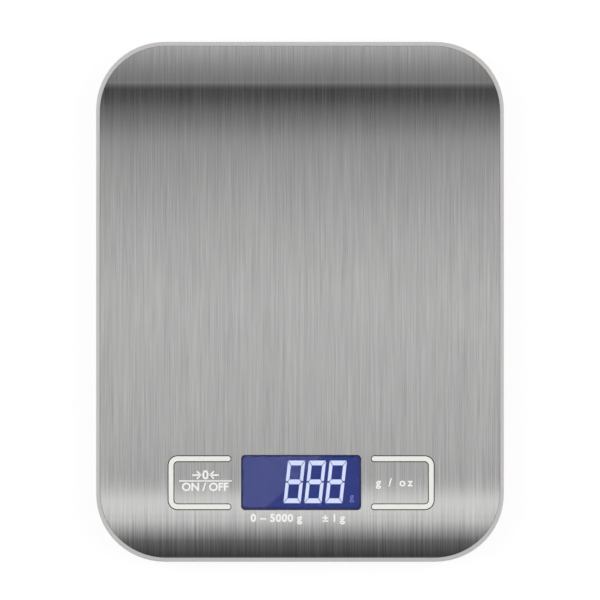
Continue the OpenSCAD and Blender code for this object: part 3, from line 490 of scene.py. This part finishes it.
for part in frame["record"]["subparts"]:
    mesh = nodes[part["node"]].data
    mesh.materials.clear()
    mesh.materials.append(finishes[part["material_slot"]])
print("finishes set:", len(finishes))


def finishPiece(name, material, body):
    piece = bpy.context.object
    bpy.ops.object.transform_apply(location=True, rotation=True, scale=True)
    piece.name = piece.data.name = name
    piece.data.materials.clear()
    piece.data.materials.append(material)
    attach(piece, body)


def selectOnly(parts):
    bpy.ops.object.select_all(action="DESELECT")
    for part in parts:
        part.select_set(True)
    bpy.context.view_layer.objects.active = parts[0]


def addBlock(size, middle):
    bpy.ops.object.select_all(action="DESELECT")
    bpy.ops.mesh.primitive_cube_add(size=1, location=middle, scale=size)
    bpy.ops.object.transform_apply(location=True, rotation=True, scale=True)
    return bpy.context.object


def joinPieces(parts):
    selectOnly(parts)
    bpy.ops.object.join()
    return bpy.context.object


def copies(part, count):
    # the part and its copies, each with its own mesh
    row = [part]
    while len(row) < count:
        selectOnly([part])
        bpy.ops.object.duplicate(linked=False)
        row.append(bpy.context.object)
    return row


def roundedPlate(size, radius, at, thick):
    # a flat plate with round corners, lying at at[2] and thick upwards
    plate = addBlock((size[0], size[1], thick), (at[0], at[1], at[2] + thick / 2))
    weights = plate.data.attributes.new("bevel_weight_edge", "FLOAT", "EDGE")
    for edge in plate.data.edges:
        ends = [plate.data.vertices[i].co for i in edge.vertices]
        if abs(ends[0].z - ends[1].z) > thick / 2:
            weights.data[edge.index].value = 1
    bevel = plate.modifiers.new("corners", "BEVEL")
    bevel.width = radius
    bevel.segments = 12
    bevel.limit_method = "WEIGHT"
    bpy.ops.object.modifier_apply(modifier="corners")
    return plate


# the display: a blue film on the front glass, lit digits on it, and an ink border in the lens's underside
lensLow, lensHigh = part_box("display_lens")
glassLow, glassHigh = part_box("lcd_front_glass")
display = {
    "filmInset": 0.0003, "filmRadius": 0.0006, "filmThick": 0.0002, "borderInset": 0.00005,
    "borderWide": 0.0007, "borderRadius": 0.0018, "borderUp": 0.00001, "borderThick": 0.00003,
    "openingRadius": 0.00144, "openingUp": 0.0002, "overrun": 0.0001,
}
digit = {
    "width": 0.0076, "height": 0.0188, "flat": 0.0021, "upright": 0.00148, "gap": 0.00028, "slant": 0.11,
    "pitch": 0.0092, "firstX": -0.0025, "y": -0.0795, "thick": 0.00003, "waist": 0.00035, "count": 3,
}
filmTop = glassHigh.z + display["filmThick"]


def glowFilm(name, low, high, dim, bright, rough=0.3, shine=0.1):
    # backlit film: the colour comes from the light behind it, a little uneven
    cloudMm = 14
    material, tree, shader, place = newFinish(name, {
        "IOR": 1.5, "Specular IOR Level": shine, "Roughness": rough, "Base Color": "0d0d1d"})
    cloud = addNode(tree, "ShaderNodeTexNoise", {"Vector": place, "Scale": perMm(cloudMm), "Detail": 2})
    colour = addNode(tree, "ShaderNodeMix", {0: cloud, 6: low, 7: high}, data_type="RGBA")
    level = addNode(tree, "ShaderNodeMapRange", {"Value": cloud, "To Min": dim, "To Max": bright})
    setInputs(tree, shader, {"Emission Color": colour, "Emission Strength": level})
    return material


def insetSize(low, high, inset):
    return high.x - low.x - 2 * inset, high.y - low.y - 2 * inset


def makeFilm():
    x, y = ((glassLow + glassHigh) / 2).xy
    size = insetSize(glassLow, glassHigh, display["filmInset"])
    roundedPlate(size, display["filmRadius"], (x, y, glassHigh.z), display["filmThick"])
    film = glowFilm("blueBacklitFilm", "182b6f", "1c2e75", 0.95, 1.05, 0.018, 0.33)
    finishPiece("lcd_film", film, "casing")


makeFilm()


def segment(size, at, cuts):
    # one bar of a digit: a thin block with its ends cut off slantwise
    bar = addBlock((size[0], size[1], digit["thick"]), (at[0], at[1], digit["thick"] / 2))
    bpy.ops.object.mode_set(mode="EDIT")
    for point, normal in cuts:
        bpy.ops.mesh.select_all(action="SELECT")
        bpy.ops.mesh.bisect(plane_co=point.to_3d(), plane_no=normal.to_3d(), clear_outer=True,
                            use_fill=True)
    bpy.ops.object.mode_set(mode="OBJECT")
    return bar


def makeDigit():
    w, h, flat, upright = (digit[key] for key in ("width", "height", "flat", "upright"))
    half = digit["gap"] / 2
    bars, waistCuts = [], []

    def mitre(sx, sy):
        # at a corner: a point of the slanting gap, and the way from it into the top or bottom bar
        return Vector((sx * w / 2, sy * h / 2)), Vector((-sx * flat, sy * upright)).normalized()

    def waist(sx, sy):
        # at the middle bar's end: a point of the gap, and the way from it into the middle bar
        return Vector((sx * (w - upright) / 2, 0)), Vector((-sx * flat, -sy * upright)).normalized()

    for sy in (-1, 1):
        ends = []
        for sx in (-1, 1):
            corner, up = mitre(sx, sy)
            point, inward = waist(sx, sy)
            ends.append((corner + up * half, -up))
            waistCuts.append((point + inward * half, -inward))
            cuts = [(corner - up * half, up), (point - inward * half, inward),
                    (Vector((0, sy * digit["waist"])), Vector((0, -sy)))]
            bars.append(segment((upright, h / 2), (sx * (w - upright) / 2, sy * h / 4), cuts))
        bars.append(segment((w, flat), (0, sy * (h - flat) / 2), ends))
    bars.append(segment((w, flat), (0, 0), waistCuts))
    one = joinPieces(bars)
    for vertex in one.data.vertices:
        vertex.co.x += vertex.co.y * digit["slant"]
    return one


def makeDigits():
    row = copies(makeDigit(), digit["count"])
    for count, one in enumerate(row):
        one.location = (digit["firstX"] + digit["pitch"] * count, digit["y"], filmTop)
    joinPieces(row)
    lit = glowFilm("litSegments", "dce5fc", "e6edff", 0.94, 1.0)
    finishPiece("lcd_digits", lit, "casing")


makeDigits()


def makeLensBorder():
    # black ink printed round the lens: opaque, with a painted blue cast that stands in for the display's
    # light beside it. Its opening lies a little high, so its lower side is the widest
    ink = clouded("screenPrintInk", {"Roughness": 0.4, "Specular IOR Level": 0.25}, "1e2448", "262c56", 5)
    x, y = ((lensLow + lensHigh) / 2).xy
    low, thick, overrun = lensLow.z + display["borderUp"], display["borderThick"], display["overrun"]
    opening = insetSize(lensLow, lensHigh, display["borderInset"] + display["borderWide"])
    openingLow = (x, y + display["openingUp"], low - overrun)
    hole = roundedPlate(opening, display["openingRadius"], openingLow, thick + 2 * overrun)
    border = insetSize(lensLow, lensHigh, display["borderInset"])
    ring = roundedPlate(border, display["borderRadius"], (x, y, low), thick)
    cut = ring.modifiers.new("opening", "BOOLEAN")
    cut.operation = "DIFFERENCE"
    cut.object = hole
    cut.solver = "EXACT"
    bpy.ops.object.modifier_apply(modifier="opening")
    finishPiece("lens_border", ink, "casing")
    bpy.data.objects.remove(hole)


makeLensBorder()
print("display made")

# thick white screen ink: opaque, slightly uneven at its edge
whiteInk = clouded("whiteScreenInk", {"IOR": 1.5}, "f0f0ea", "fbfbf7", 0.6, (0.45, 0.65), detail=3)
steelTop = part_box("platform_plate")[1].z
# each ink, and the height of the surface that it is printed on
inks = {
    "white": (whiteInk, steelTop),
    "lit": (glowFilm("dimSegment", "8a92d8", "949ce0", 0.95, 1.0), filmTop),
}
# each word: text, size, middle of its capitals, extra boldness, letter spacing, body it rides, ink
words = {
    "legend_zero": ("→0←", 0.0054, (-0.0417, -0.0763), 0.025, 0.95, "power_key", "white"),
    "legend_on_off": ("ON / OFF", 0.0049, (-0.0418, -0.0816), 0.028, 1.0, "power_key", "white"),
    "legend_unit": ("g / oz", 0.0049, (0.0416, -0.0796), 0.022, 1.42, "unit_key", "white"),
    "legend_most": ("0 – 5000 g", 0.0047, (-0.0104, -0.0953), 0.033, 1.12, "casing", "white"),
    "legend_least": ("± 1 g", 0.0047, (0.0149, -0.0953), 0.03, 1.02, "casing", "white"),
    "lcd_gram": ("g", 0.0046, (0.0229, -0.0860), -0.012, 1.0, "casing", "lit"),
}
inkDepth = 0.000016
# half a capital's height, as a share of the size
capitalHalf = 0.34


def makeWord(name):
    text, size, middle, bold, spacing, body, inkName = words[name]
    ink, surface = inks[inkName]
    bpy.ops.object.select_all(action="DESELECT")
    bpy.ops.object.text_add(location=(0, 0, 0))
    letters = bpy.context.object.data
    letters.body = text
    letters.size = size
    letters.offset = bold * size
    letters.space_character = spacing
    letters.extrude = inkDepth / 2
    letters.resolution_u = 6
    bpy.ops.object.convert(target="MESH")
    word = bpy.context.object
    across = [vertex.co.x for vertex in word.data.vertices]
    shift = (min(across) + max(across)) / 2
    word.location = (middle[0] - shift, middle[1] - size * capitalHalf, surface + inkDepth / 2)
    finishPiece(name, ink, body)


for name in words:
    makeWord(name)

# the line between the power key's two words
rule = {"size": (0.0233, 0.0005), "radius": 0.0001, "at": (-0.0417, -0.0790)}
roundedPlate(rule["size"], rule["radius"], rule["at"] + (steelTop,), inkDepth)
finishPiece("legend_rule", whiteInk, "power_key")
print("words printed")

# the door's outer face: ribs for the thumb beside the latch, and an arrow that points to the latch
grip = {
    "ribs": 5, "ribWide": 0.012, "ribDeep": 0.0008, "ribRound": 0.00032, "pitch": 0.0016, "firstY": -0.0106,
    "rise": 0.0005, "sink": 0.00005, "arrowY": -0.0004, "arrowRadius": 0.0026, "arrowInset": 0.0006,
    "arrowHollow": 0.00035,
}


def selectFaces(piece, test):
    # edit mode: only the faces whose normal passes the test stay selected
    bpy.ops.object.mode_set(mode="EDIT")
    bpy.ops.mesh.select_mode(type="FACE")
    bpy.ops.mesh.select_all(action="DESELECT")
    bpy.ops.object.mode_set(mode="OBJECT")
    for face in piece.data.polygons:
        face.select = test(face.normal)
    bpy.ops.object.mode_set(mode="EDIT")


def facesDown(normal):
    return normal.z < -0.99


def makeDoorGrip():
    tall = grip["rise"] + grip["sink"]
    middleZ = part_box("battery_door")[0].z - grip["rise"] + tall / 2
    rib = addBlock((grip["ribWide"], grip["ribDeep"], tall), (0, grip["firstY"], middleZ))
    selectFaces(rib, facesDown)
    bpy.ops.mesh.bevel(offset=grip["ribRound"], segments=4, affect="EDGES")
    bpy.ops.object.mode_set(mode="OBJECT")
    row = rib.modifiers.new("row", "ARRAY")
    row.count = grip["ribs"]
    row.use_relative_offset = False
    row.use_constant_offset = True
    row.constant_offset_displace = (0, grip["pitch"], 0)
    bpy.ops.object.modifier_apply(modifier="row")
    bpy.ops.object.select_all(action="DESELECT")
    bpy.ops.mesh.primitive_cylinder_add(vertices=3, radius=grip["arrowRadius"], depth=tall,
                                        location=(0, grip["arrowY"], middleZ), rotation=(0, 0, math.pi))
    bpy.ops.object.transform_apply(location=True, rotation=True, scale=True)
    arrow = bpy.context.object
    selectFaces(arrow, facesDown)
    bpy.ops.mesh.inset(thickness=grip["arrowInset"])
    bpy.ops.transform.translate(value=(0, 0, grip["arrowHollow"]))
    bpy.ops.object.mode_set(mode="OBJECT")
    joinPieces([rib, arrow])
    finishPiece("door_grip", finishes["abs_grey"], "battery_door")


makeDoorGrip()

# the feet's rubber pads: each has a rounded tread with round grooves
tread = {
    "radius": 0.009, "thick": 0.0012, "edge": 0.0003, "land": 0.0013, "groove": 0.0007, "grooves": 3,
    "depth": 0.0004, "slope": 0.0001, "smoothDegrees": 35,
}


def makeTread():
    bpy.ops.object.select_all(action="DESELECT")
    bpy.ops.mesh.primitive_cylinder_add(vertices=72, radius=tread["radius"], depth=tread["thick"],
                                        location=(0, 0, 0))
    pad = bpy.context.object
    selectFaces(pad, facesDown)
    bpy.ops.mesh.bevel(offset=tread["edge"], segments=3, affect="EDGES")
    selectFaces(pad, facesDown)
    wall, bottom = tread["slope"], tread["groove"]
    for count in range(tread["grooves"]):
        bpy.ops.mesh.inset(thickness=tread["land"])
        for width, rise in ((wall, tread["depth"]), (bottom, 0), (wall, -tread["depth"])):
            bpy.ops.mesh.inset(thickness=width)
            bpy.ops.transform.translate(value=(0, 0, rise))
    bpy.ops.object.mode_set(mode="OBJECT")
    bpy.ops.object.shade_smooth_by_angle(angle=math.radians(tread["smoothDegrees"]))
    return pad


def makeTreads():
    feet = ("front_left", "front_right", "rear_left", "rear_right")
    for foot, piece in zip(feet, copies(makeTread(), len(feet))):
        low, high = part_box("foot_pad_" + foot)
        piece.location = (low + high) / 2
        selectOnly([piece])
        finishPiece("foot_tread_" + foot, finishes["foot_rubber"], "foot_" + foot)
        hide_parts("foot_pad_" + foot)


makeTreads()

# a bare rating plate: a rounded blank stuck under the casing
ratingPlate = {"size": (0.044, 0.024), "radius": 0.002, "at": (0, 0.052), "thick": 0.0001, "sink": 0.00001}


def makeRatingPlate():
    thick = ratingPlate["thick"]
    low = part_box("bottom_shell")[0].z - thick
    roundedPlate(ratingPlate["size"], ratingPlate["radius"], ratingPlate["at"] + (low,),
                 thick + ratingPlate["sink"])
    # matt polyester film: whiter and flatter than the plastic, with a fine paper-like tooth
    polyester = moulded("mattPolyesterFilm", "d4d5d3", "dcdddb", 0.6, 0.3, 0.003, mottleMm=7)
    finishPiece("rating_plate", polyester, "casing")


makeRatingPlate()
print("underside dressed")
